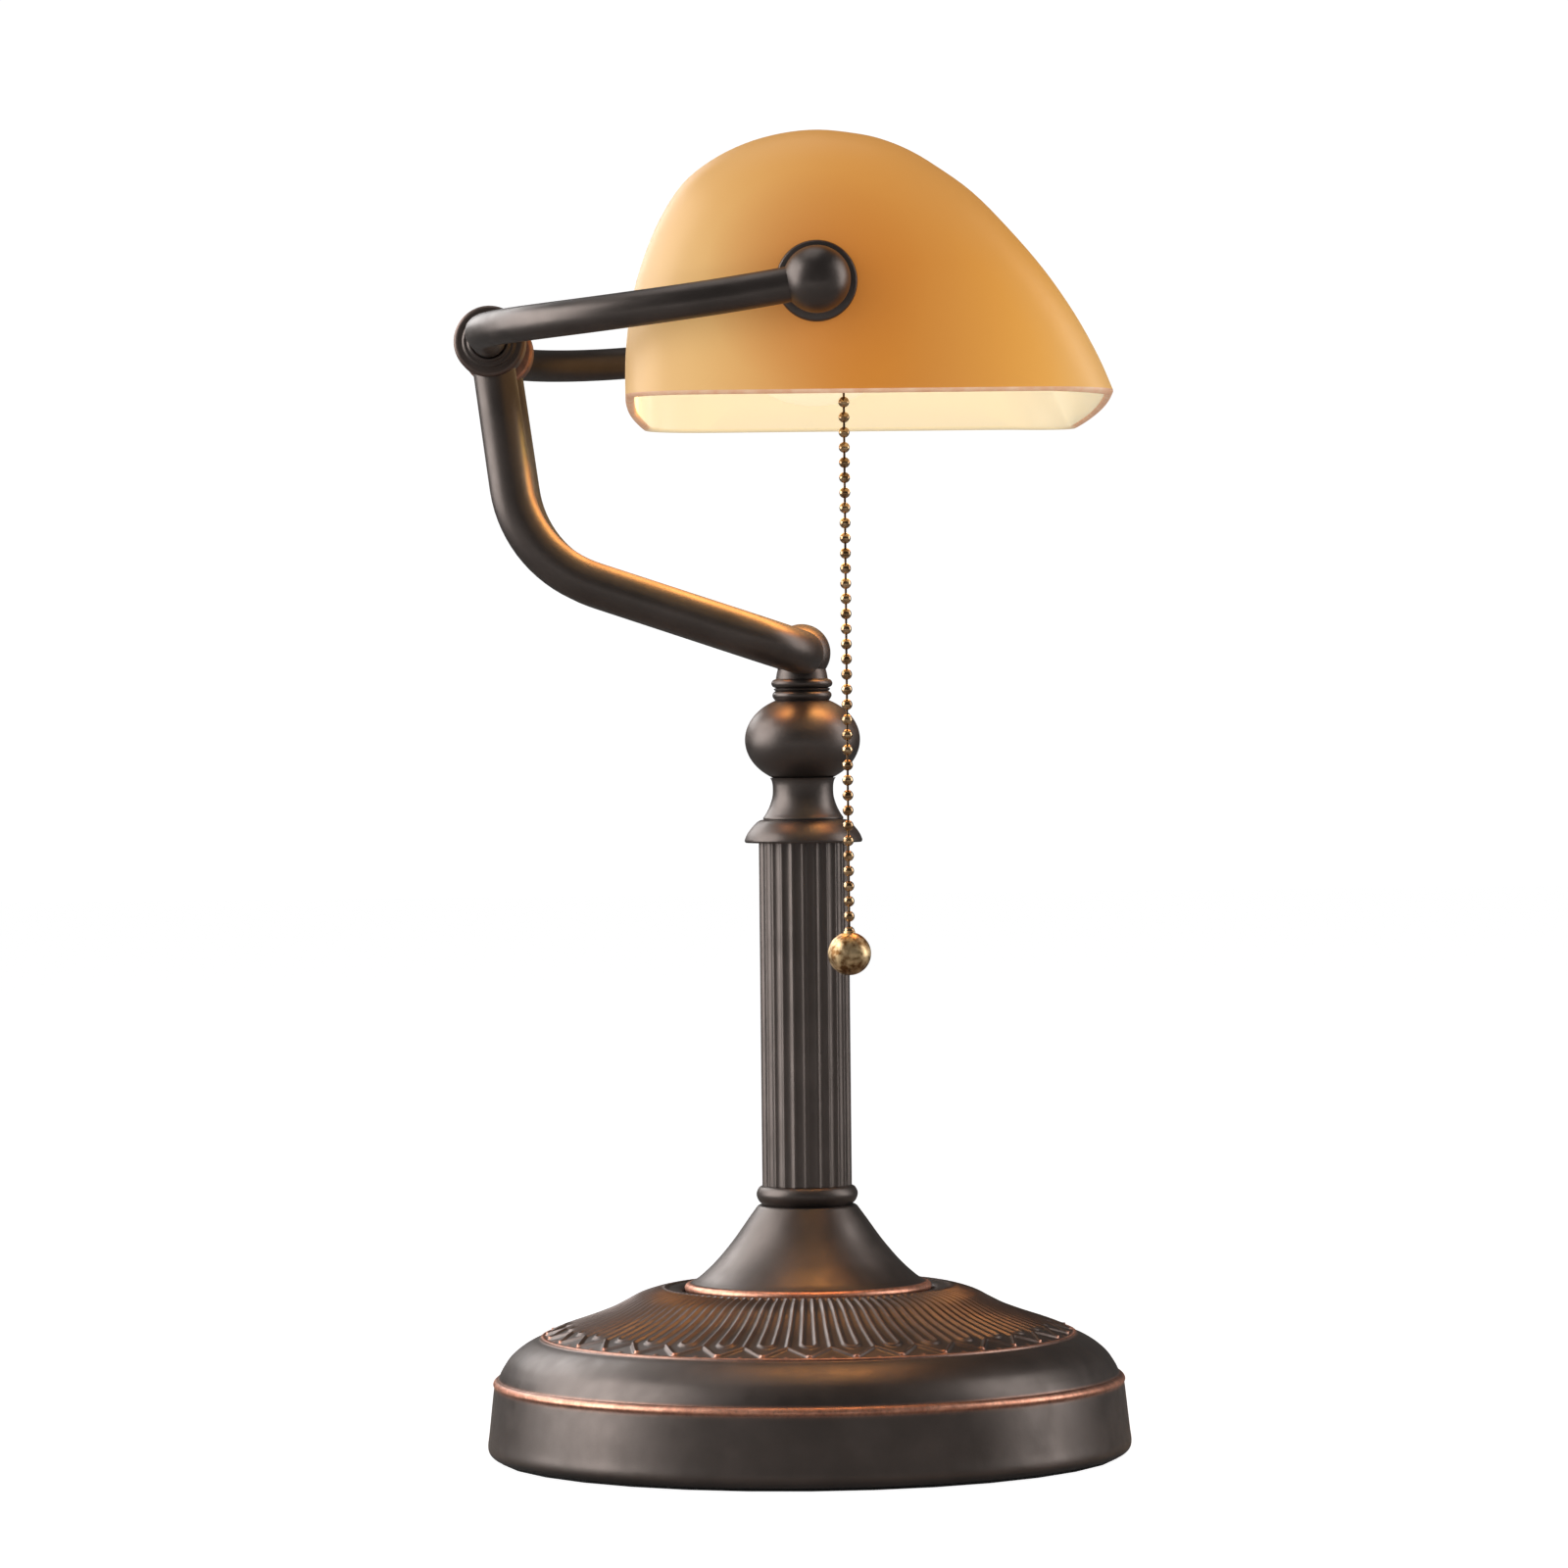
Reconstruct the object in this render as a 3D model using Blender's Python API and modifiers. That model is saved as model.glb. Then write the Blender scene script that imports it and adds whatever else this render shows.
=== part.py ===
"""A banker desk lamp: weighted round base, fluted column, bent-tube yoke, fork and tilting glass shade.

Driving dimensions are in millimetres and the helpers turn them into metres.
The origin is the middle of the base's underside, +Z is up and the shade's open front faces +X.
"""

import math

import bmesh
import bpy
from mathutils import Matrix, Vector

MM = 0.001
GAP = 0.3  # left between solids that touch on the real lamp
MERGE = 0.00001
SIDES = {"near": -1, "far": 1}  # the two ends of the shade, at -Y and +Y

# Base
PAD_R, PAD_TOP = 94.3, 1.8
SKIRT_R, SKIRT_BOTTOM = 97.6, 1.0
SHELL_WALL = 1.6
PLATE_Z = 49.0
GLAND_ANGLE, GLAND_Z, GLAND_R = 145.0, 12.5, 4.4

# Column stack, from the base upwards
ROD_R, ROD_BORE_R = 4.8, 3.4
BORE_R = 5.2
CONE_TOP = 76.0
FOOT_TOP = 82.0
COLUMN_R, COLUMN_BORE_R, COLUMN_TOP = 13.5, 11.0, 186.0
FLUTES, FLUTE_DEPTH = 24, 0.8
CAP_TOP = 193.0
SPOOL_TOP = 205.5
KNOP_R, KNOP_HALF, KNOP_MID, KNOP_TOP = 17.5, 13.5, 217.1, 229.0
RING_TOP = 231.9
ELBOW_Z, ELBOW_BALL_R = 243.4, 8.8
ROD_TOP = 236.2

# Yoke, the pair of bent tubes that carries the fork
YOKE_Y = 27.0
YOKE_R_ELBOW, YOKE_R_HUB = 6.7, 6.35
YOKE_WALL = 1.2
YOKE_KNEE = (-83.5, 271.7)
YOKE_KNEE_BEND, YOKE_CROSS_BEND = 36.0, 20.0
HUB_X, HUB_Z = -92.3, 337.1
EYE_R, EYE_HALF = 10.65, 7.5

# Fork, the long tube that holds the shade at both ends
FORK_R, FORK_WALL = 5.1, 1.0
FORK_Y, FORK_BEND = 143.0, 64.0
PIVOT_X, PIVOT_Z = 5.0, 347.7
FORK_RISE_POWER = 1.7
END_BALL_R, END_BALL_SEAT = 9.6, 136.8
FORK_END_X = PIVOT_X - 7.0

# Shade, with its outline given from the pivot
SHADE_HALF, GLASS_WALL = 133.5, 2.6
SHADE_CORNER, SHADE_BOW = 20.0, 2.6
SHADE_OUTLINE = [
    (-54.1, -31.7), (-53.8, -16.0), (-49.5, 6.5), (-37.8, 29.0), (-19.7, 40.5), (1.0, 44.2),
    (22.8, 40.0), (44.6, 26.0), (64.8, 3.7), (79.0, -18.5), (84.4, -31.7),
]
SHADE_HOLE_R = 5.3

# Socket and bulb, on the pivot's axis
SOCKET_R = 16.3
SOCKET_BACK, SOCKET_FRONT = 112.0, 64.0
BULB_R = 30.0

# Pull chain
CHAIN_X, CHAIN_Y = 12.8, -85.0
GUIDE_MOUTH_Z = 329.0
CHAIN_TOP = 331.0
BEAD_R, BEAD_PITCH = 1.6, 4.4
PULL_BALL_R, PULL_BALL_Z = 6.3, 155.2


def start():
    """An empty scene, and one collection for the lamp and one for its cutters."""
    for old in list(bpy.data.objects):
        bpy.data.objects.remove(old)
    for name in ("desk_lamp", "cutters"):
        bpy.context.scene.collection.children.link(bpy.data.collections.new(name))


def material(name, colour, roughness, metallic):
    made = bpy.data.materials.new(name)
    made.use_nodes = True
    shader = made.node_tree.nodes["Principled BSDF"]
    shader.inputs["Base Color"].default_value = (*colour, 1)
    shader.inputs["Roughness"].default_value = roughness
    shader.inputs["Metallic"].default_value = metallic
    return made


def keep(thing, finish):
    """Puts a finished part in the lamp's collection, with its material."""
    thing.data.materials.append(finish)
    bpy.data.collections["desk_lamp"].objects.link(thing)
    return thing


def cut(thing, cutter, operation="DIFFERENCE"):
    """Cuts a part with another object, which isn't itself a part."""
    cutter.display_type = "WIRE"
    cutter.hide_render = True
    bpy.data.collections["cutters"].objects.link(cutter)
    step = thing.modifiers.new(operation.lower(), "BOOLEAN")
    step.operation = operation
    step.object = cutter


def smooth(mesh):
    mesh.shade_smooth()
    mesh.set_sharp_from_angle(angle=math.radians(35))


def turned(name, outline, steps=20):
    """A turned object about Z. The outline's (radius, height) points run down the outer side.

    An outline that starts and ends on the axis stays open, and any other is closed.
    """
    bm = bmesh.new()
    points = [bm.verts.new((r * MM, 0, z * MM)) for r, z in outline]
    for a, b in zip(points, points[1:]):
        bm.edges.new((a, b))
    if outline[0][0] > 0:
        bm.edges.new((points[-1], points[0]))
    mesh = bpy.data.meshes.new(name)
    bm.to_mesh(mesh)
    bm.free()
    thing = bpy.data.objects.new(name, mesh)
    turn = thing.modifiers.new("turn", "SCREW")
    turn.steps = turn.render_steps = steps
    turn.use_merge_vertices = True
    turn.merge_threshold = MERGE
    return thing


def cylinder(name, radius, low, high, sides=24):
    """A solid cylinder about Z from one height to another."""
    bm = bmesh.new()
    bmesh.ops.create_cone(bm, cap_ends=True, segments=sides, radius1=radius * MM, radius2=radius * MM,
                          depth=(high - low) * MM)
    bmesh.ops.translate(bm, verts=bm.verts, vec=(0, 0, (low + high) / 2 * MM))
    mesh = bpy.data.meshes.new(name)
    bm.to_mesh(mesh)
    bm.free()
    return bpy.data.objects.new(name, mesh)


def at(thing, x, y, z, towards=None):
    """Places an object, in millimetres, and points its Z axis in a direction."""
    thing.location = (x * MM, y * MM, z * MM)
    if towards is not None:
        thing.rotation_euler = Vector(towards).to_track_quat("Z", "Y").to_euler()
    return thing


def on_pivot(thing, side):
    """Places a turned object on the shade's axis, its Z axis pointing out of the shade."""
    return at(thing, PIVOT_X, 0, PIVOT_Z, (0, side, 0))


def curve_tube(name, points, radii, sides):
    """An open tube, as a mesh, whose radius follows the points."""
    data = bpy.data.curves.new(name, "CURVE")
    data.dimensions = "3D"
    data.bevel_depth = MM
    data.bevel_resolution = sides
    line = data.splines.new("POLY")
    line.points.add(len(points) - 1)
    for place, point, radius in zip(line.points, points, radii):
        place.co = (*(MM * c for c in point), 1)
        place.radius = radius
    source = bpy.data.objects.new(name, data)
    bpy.context.scene.collection.objects.link(source)
    bpy.context.view_layer.update()
    mesh = bpy.data.meshes.new_from_object(source.evaluated_get(bpy.context.evaluated_depsgraph_get()))
    bpy.data.objects.remove(source)
    mesh.name = name
    bm = bmesh.new()
    bm.from_mesh(mesh)
    bmesh.ops.remove_doubles(bm, verts=bm.verts, dist=MERGE)
    bmesh.ops.recalc_face_normals(bm, faces=bm.faces)
    bm.to_mesh(mesh)
    bm.free()
    smooth(mesh)
    return bpy.data.objects.new(name, mesh)


def tube(name, points, radii, wall, sides=3):
    """A hollow tube with open ends."""
    thing = curve_tube(name, points, radii, sides)
    solid = thing.modifiers.new("wall", "SOLIDIFY")
    solid.thickness = wall * MM
    solid.offset = -1
    return thing


def rounded(corners, bends, step=15.0):
    """The points of a path whose inner corners are arcs of the given radii, a point every few degrees."""
    path = [Vector(corners[0])]
    for before, corner, after, bend in zip(corners, corners[1:], corners[2:], bends):
        into = (Vector(corner) - Vector(before)).normalized()
        out = (Vector(after) - Vector(corner)).normalized()
        turn = into.angle(out)
        start_point = Vector(corner) - into * bend * math.tan(turn / 2)
        across = (out - into * into.dot(out)).normalized()
        count = max(2, round(math.degrees(turn) / step))
        for i in range(count + 1):
            angle = turn * i / count
            path.append(start_point + into * bend * math.sin(angle) + across * bend * (1 - math.cos(angle)))
    return path + [Vector(corners[-1])]


def through(points, count):
    """A smooth curve (Catmull-Rom) through the points, with a number of pieces for each gap."""
    ends = [2 * Vector(points[0]) - Vector(points[1]), 2 * Vector(points[-1]) - Vector(points[-2])]
    line = [ends[0], *(Vector(p) for p in points), ends[1]]
    result = []
    for a, b, c, d in zip(line, line[1:], line[2:], line[3:]):
        for i in range(count):
            t = i / count
            square, cube = 2 * a - 5 * b + 4 * c - d, 3 * b - a - 3 * c + d
            result.append(0.5 * (2 * b + (c - a) * t + square * t**2 + cube * t**3))
    return result + [Vector(points[-1])]


def make_base(bronze, iron, felt, steel, plastic):
    keep(turned("base_pad", [(0, PAD_TOP), (PAD_R, PAD_TOP), (PAD_R, 0), (0, 0)], 32), felt)
    outer = [
        (BORE_R, PLATE_Z), (37.9, PLATE_Z), (38.5, 50.3), (40.0, 50.9), (45.0, 50.4), (51.0, 48.7),
        (57.0, 45.6), (66.0, 41.7), (73.4, 39.4), (79.4, 37.0), (86.0, 33.9), (91.5, 29.4), (93.9, 24.9),
        (95.5, 23.3), (95.5, 22.1), (SKIRT_R, 4.4), (97.0, 2.2), (95.6, SKIRT_BOTTOM),
    ]
    inner = [
        (PAD_R + GAP, SKIRT_BOTTOM), (PAD_R + GAP, PAD_TOP + 0.6), (SKIRT_R - SHELL_WALL, 4.6),
        (92.6, 24.0), (90.1, 28.4), (78.7, 35.5), (72.8, 37.9), (65.5, 40.2), (56.3, 44.1), (50.4, 47.2),
        (44.7, 48.8), (40.6, 49.3), (39.9, PLATE_Z - SHELL_WALL), (BORE_R, PLATE_Z - SHELL_WALL),
    ]
    shell = keep(turned("base_shell", outer + inner, 32), bronze)
    turn = math.radians(GLAND_ANGLE)
    facing = (math.cos(turn), math.sin(turn), 0)
    cut(shell, at(cylinder("gland_hole", GLAND_R, 88, 102, 16), 0, 0, GLAND_Z, facing))
    gland = turned("cord_gland", [
        (2.6, 98.6), (5.6, 98.6), (6.2, 98.2), (6.2, 97.6), (GLAND_R - GAP, 97.4), (GLAND_R - GAP, 92.6),
        (2.6, 92.6),
    ], 16)
    keep(at(gland, 0, 0, GLAND_Z, facing), plastic)
    weight_top = PLATE_Z - SHELL_WALL - GAP
    keep(turned("base_weight", [
        (BORE_R, weight_top), (14.6, weight_top), (16.6, 17.5), (80.0, 14.0), (87.5, 10.0),
        (88.0, PAD_TOP + GAP), (14.0, PAD_TOP + GAP), (14.0, 12.0), (BORE_R, 12.0),
    ]), iron)
    keep(turned("rod_washer", [(BORE_R, 11.7), (12.0, 11.7), (12.0, 10.2), (BORE_R, 10.2)], 16), steel)
    nut = cylinder("rod_nut", 8.7, 5.7, 9.9, 6)
    cut(nut, cylinder("nut_bore", ROD_R + GAP, 4, 12, 16))
    keep(nut, steel)
    rod = [(ROD_BORE_R, ROD_TOP), (ROD_R, ROD_TOP), (ROD_R, 4.5), (ROD_BORE_R, 4.5)]
    keep(turned("center_rod", rod, 16), steel)


def make_column(bronze):
    keep(turned("base_cone", [
        (BORE_R, CONE_TOP), (14.9, CONE_TOP), (15.4, 75.4), (17.9, 72.4), (22.6, 65.5), (27.9, 59.0),
        (33.6, 53.8), (36.9, 52.0), (37.4, 50.9), (36.9, 49.8), (35.6, PLATE_Z + GAP), (33.6, PLATE_Z + GAP),
        (31.6, 52.9), (26.2, 58.0), (16.4, 71.3), (14.2, CONE_TOP - SHELL_WALL), (BORE_R, CONE_TOP - SHELL_WALL),
    ], 24), bronze)
    foot = CONE_TOP + GAP
    keep(turned("column_foot_ring", [
        (BORE_R, FOOT_TOP), (13.4, FOOT_TOP), (14.7, 81.2), (15.3, 79.2), (14.7, 77.1), (13.4, foot),
        (BORE_R, foot),
    ]), bronze)
    keep(fluted_column(), bronze)
    keep(turned("column_cap", [
        (BORE_R, CAP_TOP), (11.9, CAP_TOP), (14.0, 192.0), (15.8, 190.0), (17.2, 188.0), (17.9, 186.9),
        (17.6, COLUMN_TOP + GAP), (BORE_R, COLUMN_TOP + GAP),
    ]), bronze)
    keep(turned("neck_spool", [
        (BORE_R, SPOOL_TOP), (9.3, SPOOL_TOP), (9.2, 203.0), (9.5, 199.5), (10.7, 196.0),
        (12.1, CAP_TOP + GAP), (BORE_R, CAP_TOP + GAP),
    ]), bronze)
    knop_bottom = SPOOL_TOP + GAP
    top = math.asin((KNOP_TOP - KNOP_MID) / KNOP_HALF)
    bottom = math.asin((knop_bottom - KNOP_MID) / KNOP_HALF)
    angles = [top + (bottom - top) * i / 7 for i in range(8)]
    round_side = [(KNOP_R * math.cos(a), KNOP_MID + KNOP_HALF * math.sin(a)) for a in angles]
    keep(turned("ball_knop", [(BORE_R, KNOP_TOP), *round_side, (BORE_R, knop_bottom)]), bronze)
    ring = KNOP_TOP + GAP
    keep(turned("neck_ring", [
        (BORE_R, RING_TOP), (8.2, RING_TOP), (8.8, 231.1), (8.8, 230.1), (8.2, ring), (BORE_R, ring),
    ]), bronze)


def fluted_column():
    """A tube with round flutes, as a flat outline with a hole in it, extruded."""
    data = bpy.data.curves.new("fluted_column", "CURVE")
    data.dimensions = "2D"
    data.fill_mode = "BOTH"
    low = FOOT_TOP + GAP
    data.extrude = (COLUMN_TOP - low) / 2 * MM
    points_a_flute = 4
    count = FLUTES * points_a_flute
    outer = data.splines.new("POLY")
    outer.points.add(count - 1)
    for i, point in enumerate(outer.points):
        turn = 2 * math.pi * i / count
        radius = COLUMN_R - FLUTE_DEPTH * abs(math.sin(turn * FLUTES / 2))
        point.co = (radius * math.cos(turn) * MM, radius * math.sin(turn) * MM, 0, 1)
    bore = data.splines.new("POLY")
    bore.points.add(FLUTES - 1)
    for i, point in enumerate(bore.points):
        turn = 2 * math.pi * i / FLUTES
        point.co = (COLUMN_BORE_R * math.cos(turn) * MM, COLUMN_BORE_R * math.sin(turn) * MM, 0, 1)
    outer.use_cyclic_u = bore.use_cyclic_u = True
    return at(bpy.data.objects.new("fluted_column", data), 0, 0, (low + COLUMN_TOP) / 2)


def make_yoke(bronze):
    """The elbow ball on the column, and the bent tube through it, from one hub eye round to the other."""
    angles = [math.radians(90 - 118 * i / 7) for i in range(8)]
    ball = [(ELBOW_BALL_R * math.cos(a), ELBOW_Z + ELBOW_BALL_R * math.sin(a)) for a in angles]
    ball[0] = (0, ELBOW_Z + ELBOW_BALL_R)
    ring = RING_TOP + GAP
    elbow = turned("elbow_fitting", ball + [
        (7.7, 238.6), (7.75, 235.5), (8.5, 235.1), (9.05, 234.1), (9.05, 233.3), (8.5, ring), (BORE_R, ring),
        (BORE_R, 238.0), (0, 238.0),
    ])
    cut(elbow, at(cylinder("cross_bore", YOKE_R_ELBOW + GAP, -12, 12, 24), 0, 0, ELBOW_Z, (0, 1, 0)))
    keep(elbow, bronze)

    leg = leg_direction()
    end = Vector((HUB_X, 0, HUB_Z)) + leg * 6.8
    corners = [
        (end.x, -YOKE_Y, end.z), (YOKE_KNEE[0], -YOKE_Y, YOKE_KNEE[1]), (0, -YOKE_Y, ELBOW_Z),
        (0, YOKE_Y, ELBOW_Z), (YOKE_KNEE[0], YOKE_Y, YOKE_KNEE[1]), (end.x, YOKE_Y, end.z),
    ]
    path = rounded(corners, [YOKE_KNEE_BEND, YOKE_CROSS_BEND, YOKE_CROSS_BEND, YOKE_KNEE_BEND])
    radii = [YOKE_R_ELBOW + (YOKE_R_HUB - YOKE_R_ELBOW) * (p.z - ELBOW_Z) / (end.z - ELBOW_Z) for p in path]
    keep(tube("yoke_tube", path, radii, YOKE_WALL), bronze)

    for name, side in SIDES.items():
        bore = FORK_R + GAP
        eye = turned(f"hub_eye_{name}", [
            (bore, 3.8 + EYE_HALF), (6.3, 3.8 + EYE_HALF), (6.3, 2.0 + EYE_HALF), (7.8, 2.0 + EYE_HALF),
            (7.8, EYE_HALF), (10.0, EYE_HALF), (EYE_R, EYE_HALF - 0.7), (EYE_R, -EYE_HALF), (bore, -EYE_HALF),
        ])
        socket = cylinder(f"leg_socket_{name}", YOKE_R_HUB + GAP, 6.5, 14, 24)
        cut(eye, at(socket, HUB_X, side * YOKE_Y, HUB_Z, leg))
        keep(at(eye, HUB_X, side * YOKE_Y, HUB_Z, (0, side, 0)), bronze)


def leg_direction():
    """From a hub eye down along the yoke's leg."""
    return (Vector((YOKE_KNEE[0], 0, YOKE_KNEE[1])) - Vector((HUB_X, 0, HUB_Z))).normalized()


def fork_height(x):
    """The fork's arms curve up gently from the hub to the shade's pivot."""
    return HUB_Z + (PIVOT_Z - HUB_Z) * (max(0.0, x - HUB_X) / (PIVOT_X - HUB_X)) ** FORK_RISE_POWER


def make_fork(bronze):
    bend_end = HUB_X + FORK_BEND
    middle = (bend_end + FORK_END_X) / 2
    flat = rounded(
        [(middle, -FORK_Y, 0), (HUB_X, -FORK_Y, 0), (HUB_X, FORK_Y, 0), (middle, FORK_Y, 0)], [FORK_BEND] * 2
    )
    path = [Vector((FORK_END_X, -FORK_Y, 0)), *flat, Vector((FORK_END_X, FORK_Y, 0))]
    path = [Vector((p.x, p.y, fork_height(p.x))) for p in path]
    keep(tube("fork_tube", path, [FORK_R] * len(path), FORK_WALL), bronze)


def make_end_fittings(name, side, bronze, rubber, steel, brass):
    """What holds one end of the shade, from the fork's end ball inwards. Heights are distances from y = 0."""
    seat = math.asin((END_BALL_SEAT - FORK_Y) / END_BALL_R)
    angles = [math.pi / 2 + (seat - math.pi / 2) * i / 7 for i in range(8)]
    surface = [(END_BALL_R * math.cos(a), FORK_Y + END_BALL_R * math.sin(a)) for a in angles]
    surface[0] = (0, FORK_Y + END_BALL_R)
    bore = ROD_R + GAP
    ball = turned(f"fork_end_ball_{name}", surface + [(bore, END_BALL_SEAT), (bore, FORK_Y), (0, FORK_Y)], 18)
    back = (FORK_END_X - fork_back().x, 0, fork_height(FORK_END_X) - fork_back().z)
    mouth = at(cylinder(f"arm_mouth_{name}", FORK_R + GAP, -20, 0.4, 20), FORK_END_X, side * FORK_Y,
               fork_height(FORK_END_X), back)
    cut(ball, mouth)
    keep(on_pivot(ball, side), bronze)
    keep(on_pivot(turned(f"end_disc_{name}", [
        (BORE_R, 136.5), (10.2, 136.5), (11.4, 135.9), (11.6, 134.9), (BORE_R, 134.9),
    ]), side), bronze)
    keep(on_pivot(turned(f"outer_gasket_{name}", [
        (BORE_R, 134.6), (10.2, 134.6), (10.2, 133.8), (BORE_R, 133.8),
    ], 16), side), rubber)
    inside = SHADE_HALF - GLASS_WALL - GAP
    keep(on_pivot(turned(f"inner_gasket_{name}", [
        (BORE_R, inside), (10.2, inside), (10.2, inside - 0.8), (BORE_R, inside - 0.8),
    ], 16), side), rubber)
    washer = inside - 0.8 - GAP
    keep(on_pivot(turned(f"inner_washer_{name}", [
        (BORE_R, washer), (9.4, washer), (9.4, washer - 1.0), (BORE_R, washer - 1.0),
    ], 16), side), steel)
    inner_end = 121.5 if side > 0 else 117.0
    keep(on_pivot(turned(f"threaded_nipple_{name}", [
        (ROD_BORE_R, 142.0), (ROD_R, 142.0), (ROD_R, inner_end), (ROD_BORE_R, inner_end),
    ], 16), side), brass)


def fork_back():
    """A point on the fork's arm a little behind its end, which gives the arm's direction there."""
    x = (HUB_X + FORK_BEND + FORK_END_X) / 2
    return Vector((x, FORK_Y, fork_height(x)))


def make_shade(glass):
    """An open half-barrel of glass, a little wider at mid-length, whose sections shrink to round its ends."""
    outline = through([(x, 0, z) for x, z in SHADE_OUTLINE], 2)
    rim = SHADE_OUTLINE[0][1]
    middle = (SHADE_OUTLINE[0][0] + SHADE_OUTLINE[-1][0]) / 2
    half = (SHADE_OUTLINE[-1][0] - SHADE_OUTLINE[0][0]) / 2
    height = max(p.z for p in outline) - rim
    corner_steps = 4
    sections = []
    for i in range(corner_steps + 1):
        turn = math.pi / 2 * i / corner_steps
        y = SHADE_HALF - SHADE_CORNER * (1 - math.sin(turn))
        sections.append((y, SHADE_CORNER * (1 - math.cos(turn))))
    sections = [(-y, inset) for y, inset in reversed(sections)] + [(-60, 0), (0, 0), (60, 0)] + sections
    bm = bmesh.new()
    rows = []
    for y, inset in sections:
        bow = SHADE_BOW * (1 - (y / SHADE_HALF) ** 2)
        wide, high = 1 + (bow - inset) / half, 1 + (bow / 2 - inset) / height
        rows.append([
            bm.verts.new(((middle + (p.x - middle) * wide) * MM, y * MM, (rim + (p.z - rim) * high) * MM))
            for p in outline
        ])
    for row, after in zip(rows, rows[1:]):
        for a, b, c, d in zip(row, row[1:], after[1:], after):
            bm.faces.new((a, b, c, d))
    bm.faces.new(list(reversed(rows[0])))
    bm.faces.new(rows[-1])
    bmesh.ops.recalc_face_normals(bm, faces=bm.faces)
    top = max(bm.faces, key=lambda f: f.calc_center_median().z)
    if top.normal.z < 0:
        bmesh.ops.reverse_faces(bm, faces=bm.faces)
    mesh = bpy.data.meshes.new("shade_glass")
    bm.to_mesh(mesh)
    bm.free()
    smooth(mesh)
    shade = at(bpy.data.objects.new("shade_glass", mesh), PIVOT_X, 0, PIVOT_Z)
    wall = shade.modifiers.new("wall", "SOLIDIFY")
    wall.thickness = GLASS_WALL * MM
    wall.offset = -1
    wall.use_even_offset = True
    for name, side in SIDES.items():
        cut(shade, on_pivot(cylinder(f"shade_hole_{name}", SHADE_HOLE_R, 120, 140, 20), side))
    keep(shade, glass)


def make_socket(brass, plastic, fibre, steel, bulb):
    """The lamp holder on the near end's nipple. Heights are distances from y = 0, so its front is lower."""
    wall = 0.8
    back, front = SOCKET_BACK, SOCKET_FRONT
    inner = SOCKET_R - wall
    keep(on_pivot(turned("socket_cap", [
        (BORE_R, 128.0), (7.0, 128.0), (7.6, 124.0), (11.5, 120.5), (15.0, 117.5), (16.1, 114.0),
        (16.1, back + GAP), (inner, back + GAP), (14.2, 116.4), (10.8, 119.3), (7.0, 122.6), (BORE_R, 123.0),
    ]), -1), brass)
    shell = turned("socket_shell", [(inner, back), (SOCKET_R, back), (SOCKET_R, front), (inner, front)])
    cut(shell, at(cylinder("guide_hole", 2.6, 8, 20, 16), PIVOT_X, CHAIN_Y, PIVOT_Z, guide_direction()))
    keep(on_pivot(shell, -1), brass)
    liner_front = front + 1.0
    keep(on_pivot(turned("socket_liner", [
        (14.4, 80.0), (inner - GAP, 80.0), (inner - GAP, liner_front), (14.4, liner_front),
    ]), -1), fibre)
    keep(on_pivot(turned("switch_body", [
        (0, back - GAP), (14.0, back - GAP), (14.0, 99.4), (13.0, 99.0), (0, 99.0),
    ], 20), -1), plastic)
    keep(on_pivot(turned("center_contact", [(0, 98.7), (3.4, 98.7), (2.6, 97.4), (0, 97.4)], 16), -1), brass)
    keep(on_pivot(turned("screw_shell", [(13.5, 98.5), (14.0, 98.5), (14.0, 66.0), (13.5, 66.0)]), -1), brass)
    keep(on_pivot(turned("bulb_cap", [
        (0, 97.0), (3.6, 97.0), (6.0, 95.6), (12.0, 94.0), (13.1, 92.0), (13.1, 68.3), (12.0, 68.3),
        (12.0, 90.0), (0, 90.0),
    ]), -1), steel)
    outside = through([(12.9, 0, 68.0), (15.5, 0, 55.0), (26.0, 0, 32.0), (BULB_R, 0, 15.0), (26.5, 0, 0.0),
                       (14.0, 0, -11.0), (0, 0, -14.0)], 2)
    inside = through([(11.9, 0, 68.0), (14.5, 0, 55.0), (25.0, 0, 32.0), (BULB_R - 1, 0, 15.0), (25.5, 0, 0.5),
                      (13.4, 0, -10.0), (0, 0, -13.0)], 2)
    profile = [(0, inside[-1].z)] + [(p.x, p.z) for p in reversed(inside[:-1])]
    profile += [(p.x, p.z) for p in outside[:-1]] + [(0, outside[-1].z)]
    keep(on_pivot(turned("bulb_glass", profile, 16), -1), bulb)


def guide_direction():
    """From the pivot's axis to the chain guide's root on the socket shell."""
    return Vector((CHAIN_X - PIVOT_X, 0, -(PIVOT_Z - GUIDE_MOUTH_Z))).normalized()


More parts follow.
